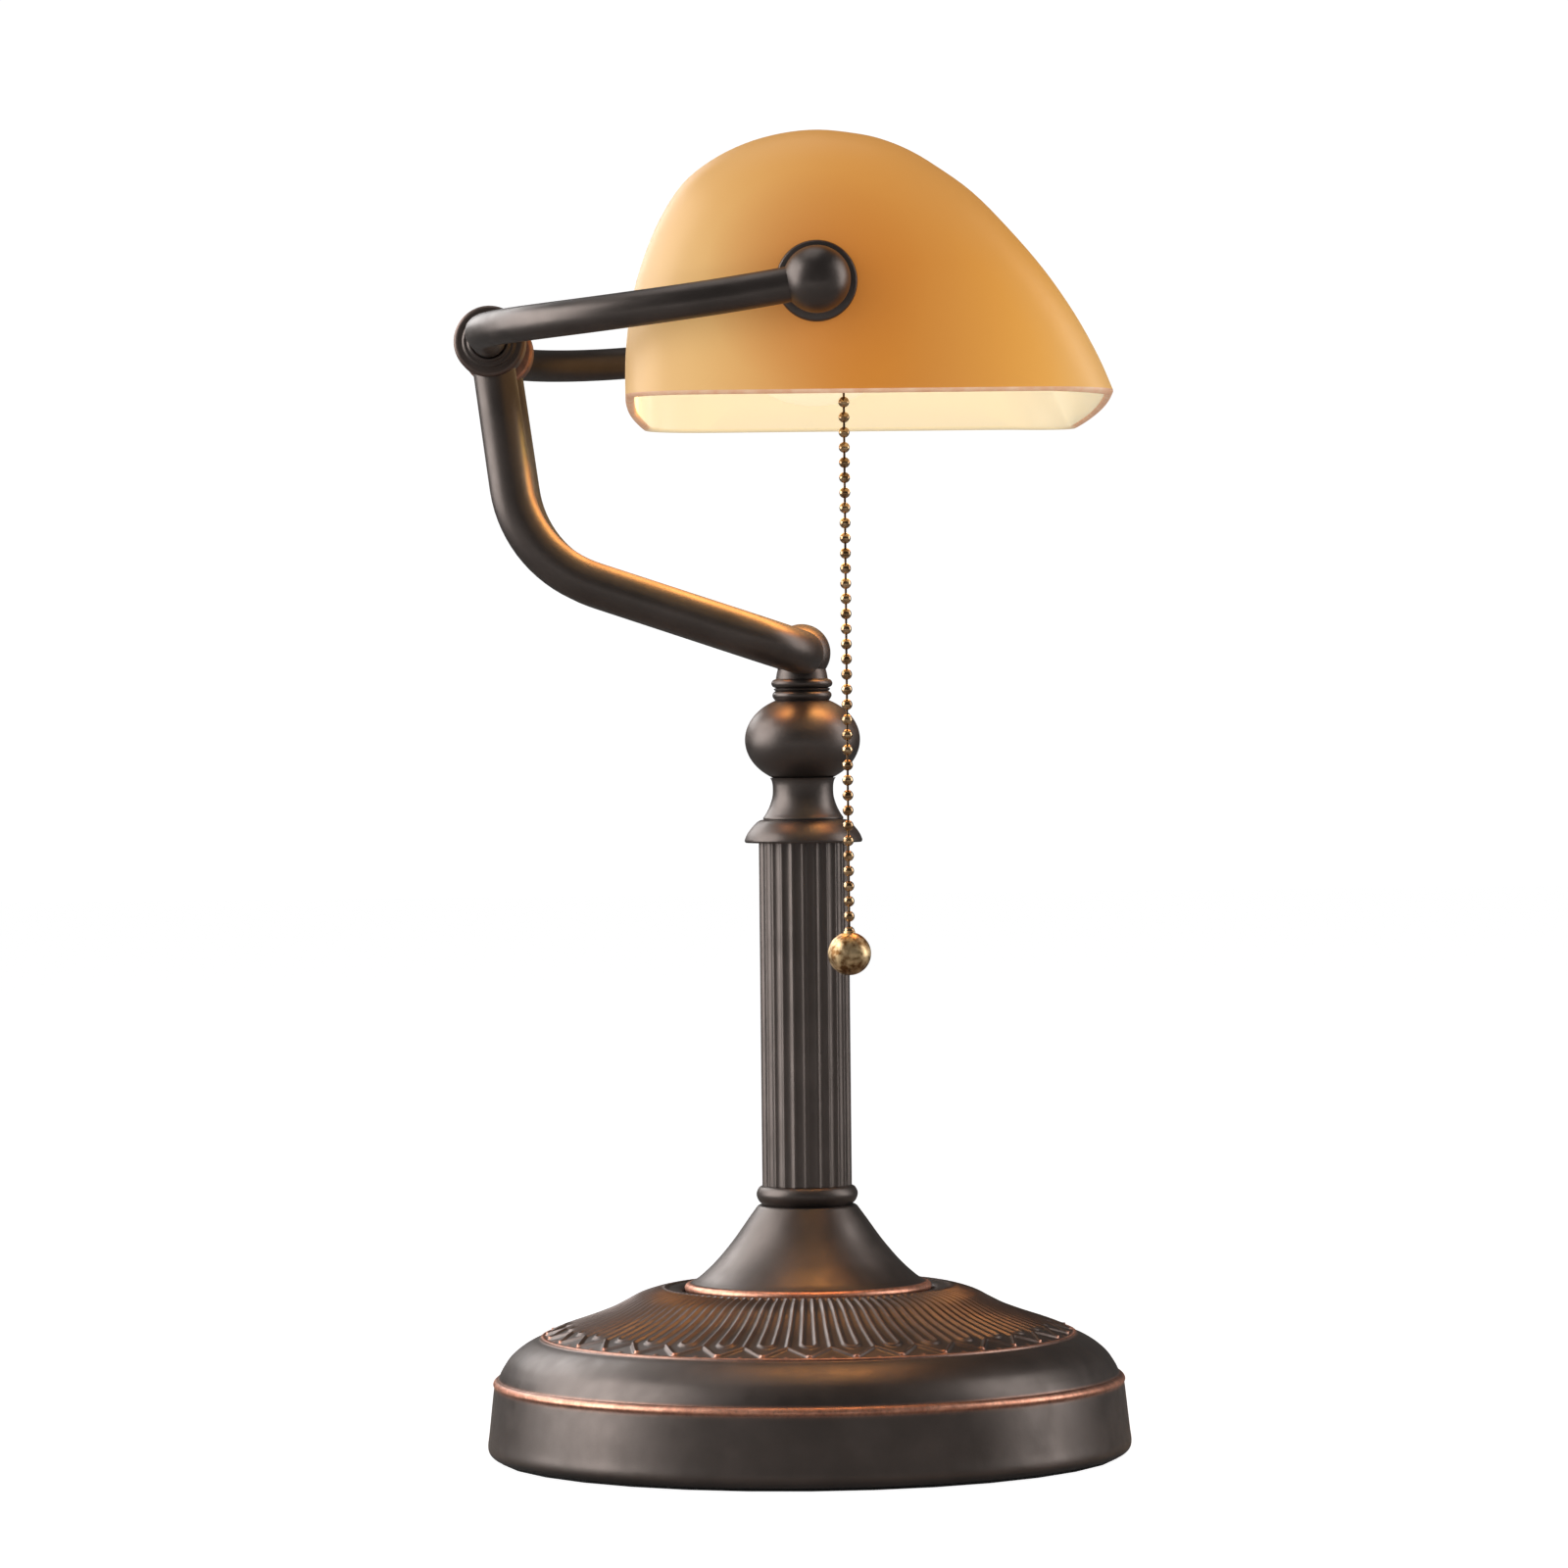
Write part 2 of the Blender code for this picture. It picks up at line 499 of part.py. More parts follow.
def make_pull(brass):
    root = Vector((PIVOT_X, CHAIN_Y, PIVOT_Z)) + guide_direction() * (SOCKET_R + GAP)
    mouth = Vector((CHAIN_X, CHAIN_Y, GUIDE_MOUTH_Z))
    route = [root, root.lerp(mouth, 0.5) + Vector((0.15, 0, 0)), mouth]
    keep(tube("chain_guide", route, [2.8, 2.9, 3.4], 0.8, 3), brass)

    count = int((CHAIN_TOP - PULL_BALL_Z - PULL_BALL_R + 3.0) / BEAD_PITCH)
    chain_bottom = CHAIN_TOP - BEAD_PITCH * count
    keep(at(cylinder("pull_chain", BEAD_R, chain_bottom, CHAIN_TOP, 8), CHAIN_X, CHAIN_Y, 0), brass)

    hole = 2.2
    angles = [math.radians(60 - 150 * i / 8) for i in range(9)]
    ball = [(PULL_BALL_R * math.cos(a), PULL_BALL_Z + PULL_BALL_R * math.sin(a)) for a in angles]
    ball[-1] = (0, PULL_BALL_Z - PULL_BALL_R)
    top = PULL_BALL_Z + PULL_BALL_R
    bottom_of_hole = chain_bottom - GAP
    collar = [(0, bottom_of_hole), (hole, bottom_of_hole), (hole, top), (hole + 0.7, top)]
    keep(at(turned("pull_ball", collar + ball, 16), CHAIN_X, CHAIN_Y, 0), brass)


def main():
    start()
    bronze = material("oil_rubbed_bronze", (0.055, 0.042, 0.036), 0.42, 0.7)
    brass = material("antique_brass", (0.45, 0.3, 0.12), 0.35, 0.9)
    steel = material("zinc_steel", (0.5, 0.5, 0.5), 0.35, 1.0)
    iron = material("cast_iron", (0.1, 0.1, 0.1), 0.7, 0.6)
    felt = material("black_felt", (0.02, 0.02, 0.02), 0.95, 0.0)
    rubber = material("gasket_rubber", (0.03, 0.03, 0.03), 0.8, 0.0)
    fibre = material("liner_fibre", (0.25, 0.18, 0.1), 0.85, 0.0)
    plastic = material("black_plastic", (0.03, 0.03, 0.03), 0.5, 0.0)
    glass = material("amber_glass", (0.75, 0.42, 0.16), 0.3, 0.0)
    bulb = material("bulb_glass", (0.95, 0.92, 0.85), 0.2, 0.0)
    make_base(bronze, iron, felt, steel, plastic)
    make_column(bronze)
    make_yoke(bronze)
    make_fork(bronze)
    for name, side in SIDES.items():
        make_end_fittings(name, side, bronze, rubber, steel, brass)
    far_nut = cylinder("shade_nut_far", 8.2, 123.4, 127.8, 6)
    bore = cylinder("shade_nut_bore", ROD_R + GAP, 120, 130, 16)
    on_pivot(bore, 1)
    cut(far_nut, bore)
    keep(on_pivot(far_nut, 1), brass)
    make_shade(glass)
    make_socket(brass, plastic, fibre, steel, bulb)
    make_pull(brass)


main()
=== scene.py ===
"""The looks of a banker desk lamp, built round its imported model.

Shapes are given in millimetres and turned into metres as meshes are made. The shade's pivot, the spread of
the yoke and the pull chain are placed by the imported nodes' boxes. "Near" is the end of the shade that holds
the socket and the pull chain, at -Y.
"""

import math

import bmesh
import bpy
from mathutils import Matrix, Vector


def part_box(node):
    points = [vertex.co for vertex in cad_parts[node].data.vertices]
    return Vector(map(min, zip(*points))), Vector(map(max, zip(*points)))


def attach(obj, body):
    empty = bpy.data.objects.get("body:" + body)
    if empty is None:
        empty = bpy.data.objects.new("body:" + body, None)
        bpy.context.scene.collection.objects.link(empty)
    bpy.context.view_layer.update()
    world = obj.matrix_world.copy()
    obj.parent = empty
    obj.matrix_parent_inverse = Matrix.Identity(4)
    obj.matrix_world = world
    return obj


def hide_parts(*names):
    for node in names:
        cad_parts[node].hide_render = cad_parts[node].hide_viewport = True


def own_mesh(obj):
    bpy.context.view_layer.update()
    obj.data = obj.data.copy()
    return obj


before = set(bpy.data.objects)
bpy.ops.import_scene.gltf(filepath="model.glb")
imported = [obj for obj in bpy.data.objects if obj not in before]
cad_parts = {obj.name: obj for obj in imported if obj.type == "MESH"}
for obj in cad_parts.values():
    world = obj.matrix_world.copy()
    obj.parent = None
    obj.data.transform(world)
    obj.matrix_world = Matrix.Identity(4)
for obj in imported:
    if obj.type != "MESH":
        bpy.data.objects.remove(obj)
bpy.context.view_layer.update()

MM = 0.001
SIDES = {"near": -1, "far": 1}


def middle(node):
    """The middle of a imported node's box, in millimetres."""
    low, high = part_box(node)
    return (Vector(low) + Vector(high)) / 2 / MM


def low_and_high(node):
    """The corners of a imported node's box, in millimetres."""
    low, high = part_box(node)
    return Vector(low) / MM, Vector(high) / MM


PIVOT = middle("end_disc_near")
YOKE_Y = abs(middle("hub_eye_near").y)
ELBOW_Z = 243.4


# ---------------------------------------------------------------- shapes


def through(points, count=6):
    """A smooth curve (Catmull-Rom) through the points, with a number of pieces for each gap."""
    points = [Vector(p) for p in points]
    line = [2 * points[0] - points[1], *points, 2 * points[-1] - points[-2]]
    result = []
    for a, b, c, d in zip(line, line[1:], line[2:], line[3:]):
        bend = 2 * a - 5 * b + 4 * c - d
        swing = 3 * b - a - 3 * c + d
        for i in range(count):
            t = i / count
            result.append(0.5 * (2 * b + (c - a) * t + bend * t**2 + swing * t**3))
    return result + [points[-1]]


def curved(points, count=6):
    """The same as (radius, height) pairs for a turned outline."""
    return [(max(p.x, 0.0), p.y) for p in through(points, count)]


def arc(radius, centre, start, end, count, across=None):
    """(radius, height) points on a circle about a height on the axis, between two angles in degrees.

    Across, if given, is the sideways radius of an ellipse.
    """
    across = across or radius
    angles = [math.radians(start + (end - start) * i / count) for i in range(count + 1)]
    return [(max(across * math.cos(a), 0.0), centre + radius * math.sin(a)) for a in angles]


def rounded(corners, bends, step=4.0):
    """The points of a path whose inner corners are arcs of the given radii, a few degrees to a step."""
    path = [Vector(corners[0])]
    for before, corner, after, bend in zip(corners, corners[1:], corners[2:], bends):
        into = (Vector(corner) - Vector(before)).normalized()
        out = (Vector(after) - Vector(corner)).normalized()
        turn = into.angle(out)
        start = Vector(corner) - into * bend * math.tan(turn / 2)
        side = (out - into * into.dot(out)).normalized()
        count = max(2, round(math.degrees(turn) / step))
        for i in range(count + 1):
            angle = turn * i / count
            path.append(start + into * bend * math.sin(angle) + side * bend * (1 - math.cos(angle)))
    return path + [Vector(corners[-1])]


def evenly(path, step):
    """Points a given distance apart along a path."""
    result = [path[0]]
    spare = 0.0
    for a, b in zip(path, path[1:]):
        length = (b - a).length
        place = step - spare
        while place < length:
            result.append(a.lerp(b, place / length))
            place += step
        spare = (spare + length) % step
    return result + [path[-1]]


def smooth_step(low, high, value):
    """0 below low, 1 above high, and a smooth rise between them."""
    t = max(0.0, min(1.0, (value - low) / (high - low)))
    return t * t * (3 - 2 * t)


def finish_mesh(bm, name, sharp=40.0):
    """A mesh with its faces turned outwards, smooth but for edges sharper than an angle in degrees."""
    bmesh.ops.remove_doubles(bm, verts=bm.verts, dist=1e-6)
    bmesh.ops.recalc_face_normals(bm, faces=bm.faces)
    mesh = bpy.data.meshes.new(name)
    bm.to_mesh(mesh)
    bm.free()
    mesh.shade_smooth()
    mesh.set_sharp_from_angle(angle=math.radians(sharp))
    return mesh


def piece(name, mesh, body, finishes, node):
    """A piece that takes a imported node's place and moves with a body."""
    thing = bpy.data.objects.new(name, mesh)
    bpy.context.scene.collection.objects.link(thing)
    for finish in finishes:
        mesh.materials.append(finish)
    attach(thing, body)
    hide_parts(node)
    return thing


def bronze_piece(name, mesh, node):
    """A piece of the stand in the lamp's bronze."""
    return piece(name, mesh, "stand", [bronze], node)


def brass_piece(name, mesh, node):
    """A piece of the stand in brass."""
    return piece(name, mesh, "stand", [brass], node)


def paint(mesh, amount):
    """Stores how far the copper shows through at each vertex, for the bronze."""
    layer = mesh.attributes.new("rub", "FLOAT", "POINT")
    for vertex, value in zip(mesh.vertices, layer.data):
        value.value = amount(vertex.co / MM)


def turned(name, outline, place=None, steps=96, rub=None):
    """A turned mesh. An outline that starts on the axis is open, and any other joins up with itself."""
    place = place or Matrix()
    bm = bmesh.new()
    rows = []
    for i in range(steps):
        a = 2 * math.pi * i / steps
        row = [Vector((r * math.cos(a), r * math.sin(a), h)) for r, h in outline]
        rows.append([bm.verts.new((place @ point) * MM) for point in row])
    joined = outline[0][0] > 0
    for row, after in zip(rows, rows[1:] + rows[:1]):
        ahead, across = row[1:], after[1:]
        if joined:
            ahead, across = ahead + row[:1], across + after[:1]
        for quad in zip(row, ahead, across, after):
            bm.faces.new(quad)
    mesh = finish_mesh(bm, name)
    if rub:
        paint(mesh, rub)
    return mesh


def soften(thing, width, segments=2, angle=38):
    """Rounds the edges of a piece that are sharper than an angle."""
    step = thing.modifiers.new("soften", "BEVEL")
    step.width = width * MM
    step.segments = segments
    step.limit_method = "ANGLE"
    step.angle_limit = math.radians(angle)
    return step


def along(centre, direction):
    """Where a turned piece goes: its middle and the direction of its Z axis."""
    return Matrix.Translation(centre) @ Vector(direction).to_track_quat("Z", "Y").to_matrix().to_4x4()


def swept(name, path, radius, sides=48):
    """A round bar along a path. Radius is a function of a point on the path."""
    bm = bmesh.new()
    side = None
    rings = []
    for before, point, after in zip([path[0], *path], path, [*path[1:], path[-1]]):
        ahead = (after - before).normalized()
        if side is None:
            side = ahead.orthogonal().normalized()
        side = (side - ahead * side.dot(ahead)).normalized()
        other = ahead.cross(side)
        size = radius(point)
        ring = []
        for i in range(sides):
            a = 2 * math.pi * i / sides
            ring.append(bm.verts.new((point + (side * math.cos(a) + other * math.sin(a)) * size) * MM))
        rings.append(ring)
    for ring, after in zip(rings, rings[1:]):
        for quad in zip(ring, ring[1:] + ring[:1], after[1:] + after[:1], after):
            bm.faces.new(quad)
    bm.faces.new(rings[0])
    bm.faces.new(rings[-1])
    return finish_mesh(bm, name)


# ---------------------------------------------------------------- materials


def material(name, colour, roughness, metallic=0.0):
    """A new material, its node tree and its shader."""
    made = bpy.data.materials.new(name)
    made.use_nodes = True
    shader = made.node_tree.nodes["Principled BSDF"]
    shader.inputs["Base Color"].default_value = (*colour, 1)
    shader.inputs["Roughness"].default_value = roughness
    shader.inputs["Metallic"].default_value = metallic
    return made, made.node_tree, shader


def noise(tree, scale, detail):
    """A noise texture in the piece's own space."""
    place = tree.nodes.new("ShaderNodeTexCoord")
    texture = tree.nodes.new("ShaderNodeTexNoise")
    texture.inputs["Scale"].default_value = scale
    texture.inputs["Detail"].default_value = detail
    tree.links.new(place.outputs["Object"], texture.inputs["Vector"])
    return texture.outputs["Fac"]


def position(tree, axis, low, high):
    """0 to 1 along an axis of the piece's own space."""
    place = tree.nodes.new("ShaderNodeTexCoord")
    parts = tree.nodes.new("ShaderNodeSeparateXYZ")
    share = tree.nodes.new("ShaderNodeMapRange")
    share.inputs["From Min"].default_value = low
    share.inputs["From Max"].default_value = high
    tree.links.new(place.outputs["Object"], parts.inputs["Vector"])
    tree.links.new(parts.outputs[axis], share.inputs["Value"])
    return share.outputs["Result"]


def around(tree, x, z, reach):
    """1 on a line along Y through (x, z), falling to 0 at a distance from it."""
    place = tree.nodes.new("ShaderNodeTexCoord")
    spread = tree.nodes.new("ShaderNodeMapping")
    spread.inputs["Location"].default_value = (-x / reach, 0, -z / reach)
    spread.inputs["Scale"].default_value = (1 / reach, 0, 1 / reach)
    fall = tree.nodes.new("ShaderNodeTexGradient")
    fall.gradient_type = "SPHERICAL"
    tree.links.new(place.outputs["Object"], spread.inputs["Vector"])
    tree.links.new(spread.outputs["Vector"], fall.inputs["Vector"])
    return fall.outputs["Fac"]


def ramp(tree, source, *stops):
    """A smooth colour ramp. Each stop is (place from 0 to 1, colour or grey)."""
    node = tree.nodes.new("ShaderNodeValToRGB")
    node.color_ramp.interpolation = "CARDINAL"
    node.color_ramp.elements.remove(node.color_ramp.elements[1])
    for i, (place, colour) in enumerate(stops):
        element = node.color_ramp.elements[0] if i == 0 else node.color_ramp.elements.new(place)
        element.position = place
        element.color = (*colour, 1) if isinstance(colour, tuple) else (colour, colour, colour, 1)
    tree.links.new(source, node.inputs["Fac"])
    return node.outputs["Color"]


def mixed(tree, factor, a, b):
    """A colour mix whose ends are sockets or colours."""
    node = tree.nodes.new("ShaderNodeMix")
    node.data_type = "RGBA"
    tree.links.new(factor, node.inputs["Factor"])
    for socket, value in zip((node.inputs[6], node.inputs[7]), (a, b)):
        if isinstance(value, tuple):
            socket.default_value = (*value, 1)
        else:
            tree.links.new(value, socket)
    return node.outputs[2]


def times(tree, a, b):
    """The product of two values, each a socket or a number."""
    node = tree.nodes.new("ShaderNodeMath")
    node.operation = "MULTIPLY"
    for socket, value in zip(node.inputs, (a, b)):
        if isinstance(value, (int, float)):
            socket.default_value = value
        else:
            tree.links.new(value, socket)
    return node.outputs["Value"]


def bump(tree, shader, height, distance, strength):
    """Small dents and bumps, with their depth in metres."""
    node = tree.nodes.new("ShaderNodeBump")
    node.inputs["Distance"].default_value = distance
    node.inputs["Strength"].default_value = strength
    tree.links.new(height, node.inputs["Height"])
    tree.links.new(node.outputs["Normal"], shader.inputs["Normal"])


def make_bronze():
    """Oil-rubbed bronze: a dark satin brown, with copper where "rub" is high."""
    made, tree, shader = material("oil_rubbed_bronze", (0.11, 0.09, 0.08), 0.4, 0.85)
    mottle = noise(tree, 55, 5)
    brown = ramp(tree, mottle, (0.3, (0.088, 0.073, 0.066)), (0.7, (0.114, 0.094, 0.085)))
    worn = tree.nodes.new("ShaderNodeAttribute")
    worn.attribute_name = "rub"
    grain = ramp(tree, noise(tree, 900, 4), (0.25, 0.55), (0.6, 1.0))
    amount = times(tree, worn.outputs["Fac"], grain)
    copper = ramp(tree, noise(tree, 300, 3), (0.3, (0.56, 0.24, 0.155)), (0.7, (0.80, 0.39, 0.26)))
    tree.links.new(mixed(tree, amount, brown, copper), shader.inputs["Base Color"])
    rough = ramp(tree, noise(tree, 140, 4), (0.3, 0.36), (0.7, 0.46))
    tree.links.new(rough, shader.inputs["Roughness"])
    bump(tree, shader, noise(tree, 1400, 3), 0.00004, 0.35)
    return made


def make_brass(name, bright, tarnish, rough=(0.14, 0.32)):
    """Aged brass: warm metal with brown tarnish in patches."""
    made, tree, shader = material(name, bright, 0.25, 1.0)
    patches = ramp(tree, noise(tree, 420, 6), (0.38, 0.0), (0.6, 1.0))
    tree.links.new(mixed(tree, patches, tarnish, bright), shader.inputs["Base Color"])
    uneven = ramp(tree, noise(tree, 700, 3), (0.3, rough[0]), (0.7, rough[1]))
    tree.links.new(uneven, shader.inputs["Roughness"])
    bump(tree, shader, noise(tree, 900, 3), 0.00005, 0.4)
    return made


def make_glass():
    """The shade's three finishes: amber outside, milky and lit inside, and its ground edge. The outside and
    the edge carry painted light: a glow for the bulb's light through the glass, and painted light and shade
    in their colours.
    """
    outside, tree, shader = material("amber_glass", (0.62, 0.3, 0.08), 0.42)
    low, high = low_and_high("shade_glass")
    # Painted light and shade across the shade: pale at the back and at the front lip, deepest amber in the
    # middle.
    amber = ramp(
        tree, position(tree, "X", low.x * MM, high.x * MM),
        (0.0, (0.80, 0.51, 0.23)), (0.2, (0.74, 0.43, 0.16)), (0.42, (0.59, 0.235, 0.046)),
        (0.64, (0.59, 0.24, 0.044)), (0.86, (0.75, 0.37, 0.085)), (1.0, (0.80, 0.47, 0.17)),
    )
    # Painted light: lighter amber towards the top.
    up = ramp(tree, position(tree, "Z", PIVOT.z * MM, high.z * MM), (0.1, 0.0), (1.0, 0.7))
    amber = mixed(tree, up, amber, (0.66, 0.34, 0.095))
    # Painted shadow: darker, redder amber round the pivot, where the end disc and ball shade the glass.
    disc_shadow = times(tree, around(tree, PIVOT.x * MM, PIVOT.z * MM, 0.032), 0.8)
    amber = mixed(tree, disc_shadow, amber, (0.50, 0.17, 0.035))
    cloud = ramp(tree, noise(tree, 9, 3), (0.3, 0.94), (0.7, 1.0))
    amber = mixed(tree, cloud, (0.60, 0.25, 0.06), amber)
    tree.links.new(amber, shader.inputs["Base Color"])
    # The outside glows in these colours: a painted glow for the bulb's light coming through the glass.
    tree.links.new(amber, shader.inputs["Emission Color"])
    shader.inputs["Emission Strength"].default_value = 0.5
    shader.inputs["Specular IOR Level"].default_value = 0.25
    bump(tree, shader, noise(tree, 25, 2), 0.0004, 0.12)

    inside, tree, shader = material("opal_inside", (0.9, 0.78, 0.6), 0.35)
    shader.inputs["Emission Strength"].default_value = 0.43
    warm = ramp(tree, noise(tree, 14, 3), (0.3, (0.93, 0.84, 0.57)), (0.7, (0.95, 0.88, 0.64)))
    tree.links.new(warm, shader.inputs["Emission Color"])

    edge, tree, shader = material("glass_edge", (0.7, 0.4, 0.26), 0.4)
    pinkish = ramp(tree, noise(tree, 220, 3), (0.3, (0.70, 0.38, 0.22)), (0.7, (0.84, 0.54, 0.36)))
    # Painted light: the edge turns cream towards the far end, where the lit inside shows, and it glows like
    # the rest of the glass.
    far_rim_glow = ramp(tree, position(tree, "Y", low.y * MM, high.y * MM), (0.86, 0.0), (0.97, 1.0))
    pinkish = mixed(tree, far_rim_glow, pinkish, (0.95, 0.82, 0.56))
    tree.links.new(pinkish, shader.inputs["Base Color"])
    tree.links.new(pinkish, shader.inputs["Emission Color"])
    shader.inputs["Emission Strength"].default_value = 0.42
    return [outside, inside, edge]


def make_plain(name, colour, roughness, metallic, grain, depth):
    """A finish with a little grain in its colour, roughness and surface."""
    made, tree, shader = material(name, colour, roughness, metallic)
    uneven = ramp(tree, noise(tree, grain, 4), (0.3, roughness * 0.8), (0.7, roughness * 1.2))
    tree.links.new(uneven, shader.inputs["Roughness"])
    dark = tuple(c * 0.75 for c in colour)
    mottled = ramp(tree, noise(tree, grain * 0.4, 3), (0.3, dark), (0.7, colour))
    tree.links.new(mottled, shader.inputs["Base Color"])
    bump(tree, shader, noise(tree, grain * 2, 3), depth, 0.5)
    return made


bronze = make_bronze()
brass = make_brass("antique_brass", (0.58, 0.39, 0.22), (0.22, 0.125, 0.06))
worn_brass = make_brass("worn_brass", (0.72, 0.53, 0.30), (0.17, 0.085, 0.03), (0.36, 0.55))
# Near-black brass for the chain's links: painted shade, where the links sit between the beads.
link_shade_brass = make_brass("link_shade_brass", (0.12, 0.07, 0.035), (0.05, 0.03, 0.02))
glass = make_glass()
steel = make_plain("zinc_steel", (0.55, 0.55, 0.53), 0.35, 1.0, 300, 0.00003)
iron = make_plain("cast_iron", (0.09, 0.09, 0.09), 0.7, 0.6, 200, 0.0002)
felt = make_plain("black_felt", (0.02, 0.02, 0.02), 0.95, 0.0, 900, 0.0003)
rubber = make_plain("gasket_rubber", (0.03, 0.03, 0.03), 0.8, 0.0, 500, 0.00005)
fibre = make_plain("liner_fibre", (0.25, 0.2, 0.14), 0.8, 0.0, 400, 0.00008)
plastic = make_plain("black_plastic", (0.03, 0.03, 0.03), 0.45, 0.0, 500, 0.00003)
frosted = make_plain("bulb_glass", (0.95, 0.9, 0.8), 0.4, 0.0, 60, 0.00003)
frosted_shader = frosted.node_tree.nodes["Principled BSDF"]
frosted_shader.inputs["Emission Color"].default_value = (1.0, 0.79, 0.48, 1)
frosted_shader.inputs["Emission Strength"].default_value = 0.85


# ---------------------------------------------------------------- base and column

BORE = 5.6
PETALS, PETAL_STEPS = 36, 30
RELIEF_START, RELIEF_END, RELIEF_FADE = 40.8, 80.2, 2.0
TONGUE_TOP, TONGUE_END = 44.5, 71.0
PETAL_SHOULDER, PETAL_TIP = 73.5, 79.3
RIDGE, RIDGE_WIDTH = 0.75, 0.62
TIP_RISE, TIP_WIDTH = 0.35, 0.75
PETAL_RING, PETAL_RING_WIDTH = 80.7, 0.55
SKIRT_RING_Z, SKIRT_RING_WIDTH = 23.1, 1.1
TOP_Z, SKIRT_R = 36.0, 94.0


def to_line(p, a, b):
    """How far a flat point is from a stretch between two others."""
    ab = b - a
    t = max(0.0, min(1.0, (p - a).dot(ab) / ab.length_squared))
    return (p - a - ab * t).length


def relief(radius, turn):
    """(height, copper) of the ring of petals at a radius and an angle.

    Each petal has a long round-ended tongue inside it, and its sides run in to a tip. Distances are taken in
    a petal's own flat frame: outwards, and sideways from its middle line.
    """
    if not RELIEF_START < radius < RELIEF_END:
        return 0.0, 0.0
    width = math.pi / PETALS
    across = abs((turn + width) % (2 * width) - width) * radius
    half = width * radius
    third = half / 3
    p = Vector((radius, across))
    if radius < TONGUE_TOP:
        lines = [abs(math.hypot(radius - TONGUE_TOP, across - c) - third) for c in (0.0, 2 * third)]
    else:
        tongue = abs(across - third)
        if radius > TONGUE_END:
            tongue = abs(math.hypot(radius - TONGUE_END, across) - third)
        side = half - across
        if radius > PETAL_SHOULDER:
            side = 1.2 * to_line(p, Vector((PETAL_SHOULDER, half)), Vector((PETAL_TIP, 0)))
        lines = [tongue, side]
    ridge = max(math.exp(-((d / RIDGE_WIDTH) ** 2)) for d in lines)
    tips = min((p - Vector((PETAL_TIP, 0))).length, (p - Vector((PETAL_TIP, half))).length + 0.35)
    tip = math.exp(-((tips / TIP_WIDTH) ** 2))
    fade = min(1.0, (radius - RELIEF_START) / RELIEF_FADE)
    return (RIDGE * ridge + TIP_RISE * tip) * fade, min(1.0, (0.01 + 0.05 * ridge) * fade + tip)


def line_of_copper(r, z):
    """The two worn rings of the base: round the petals and at the top of the skirt."""
    petals = math.exp(-(((r - PETAL_RING) / PETAL_RING_WIDTH) ** 2)) if z > TOP_Z else 0.0
    skirt = math.exp(-(((z - SKIRT_RING_Z) / SKIRT_RING_WIDTH) ** 2)) if r > SKIRT_R else 0.0
    return max(petals, skirt)


def base_outline():
    """The turned outline of the base shell as (radius, height) pairs, joined up with itself."""
    seat = curved([(38.0, 49.2), (38.4, 50.2), (39.6, 50.85), (41.5, 51.0), (43.5, 50.75)], 4)
    slope = curved([(43.5, 50.75), (47.0, 50.0), (51.5, 48.5), (56.0, 46.1), (60.5, 43.9), (66.0, 41.8),
                    (71.0, 40.1), (75.5, 38.6), (79.6, 36.9)], 13)
    ring = curved([(79.6, 36.9), (80.2, 36.95), (80.7, 37.1), (81.2, 36.9), (81.5, 36.3)], 4)
    bowl = curved([(81.5, 36.3), (84.2, 35.2), (87.5, 33.2), (90.6, 30.5), (92.7, 27.5), (93.8, 25.4),
                   (94.2, 24.3)], 5)
    bead = curved([(94.2, 24.3), (95.0, 24.1), (95.7, 23.4), (95.9, 22.6), (95.6, 21.9)], 4)
    skirt = curved([(95.6, 21.9), (96.0, 18.5), (96.6, 13.0), (97.2, 7.5), (97.6, 4.3), (97.3, 2.4),
                    (96.2, 1.2), (95.2, 1.0)], 5)
    under = [(94.7, 2.4), (94.9, 5.0), (92.0, 24.0), (88.0, 28.0), (70.0, 37.4), (40.0, 47.4), (BORE, 47.4)]
    top = [(BORE, 49.2), (20.0, 49.2)] + seat
    return top + slope[1:] + ring[1:] + bowl[1:] + bead[1:] + skirt[1:] + under


def make_base():
    """The base shell, with the ring of petals raised from its turned outline."""
    outline = base_outline()
    steps = PETALS * PETAL_STEPS
    count = len(outline)
    facing = []
    for before, after in zip([outline[-1]] + outline, outline[1:] + outline[:1]):
        run, rise = after[0] - before[0], after[1] - before[1]
        size = math.hypot(run, rise)
        facing.append((-rise / size, run / size))
    places, faces, copper = [], [], []
    for i in range(steps):
        turn = 2 * math.pi * i / steps
        for (r, z), (away, up) in zip(outline, facing):
            height, rub = relief(r, turn) if z > TOP_Z else (0.0, 0.0)
            outwards = (r + away * height) * MM
            places.append((outwards * math.cos(turn), outwards * math.sin(turn), (z + up * height) * MM))
            copper.append(max(rub, line_of_copper(r, z)))
    for i in range(steps):
        row, after = i * count, (i + 1) % steps * count
        for k in range(count):
            ahead = (k + 1) % count
            faces.append((row + k, after + k, after + ahead, row + ahead))
    mesh = bpy.data.meshes.new("base_shell_fine")
    mesh.from_pydata(places, [], faces)
    mesh.update()
    bm = bmesh.new()
    bm.from_mesh(mesh)
    bmesh.ops.recalc_face_normals(bm, faces=bm.faces)
    bm.to_mesh(mesh)
    bm.free()
    mesh.shade_smooth()
    mesh.set_sharp_from_angle(angle=math.radians(75))
    layer = mesh.attributes.new("rub", "FLOAT", "POINT")
    layer.data.foreach_set("value", copper)
    bronze_piece("base_shell_fine", mesh, "base_shell")


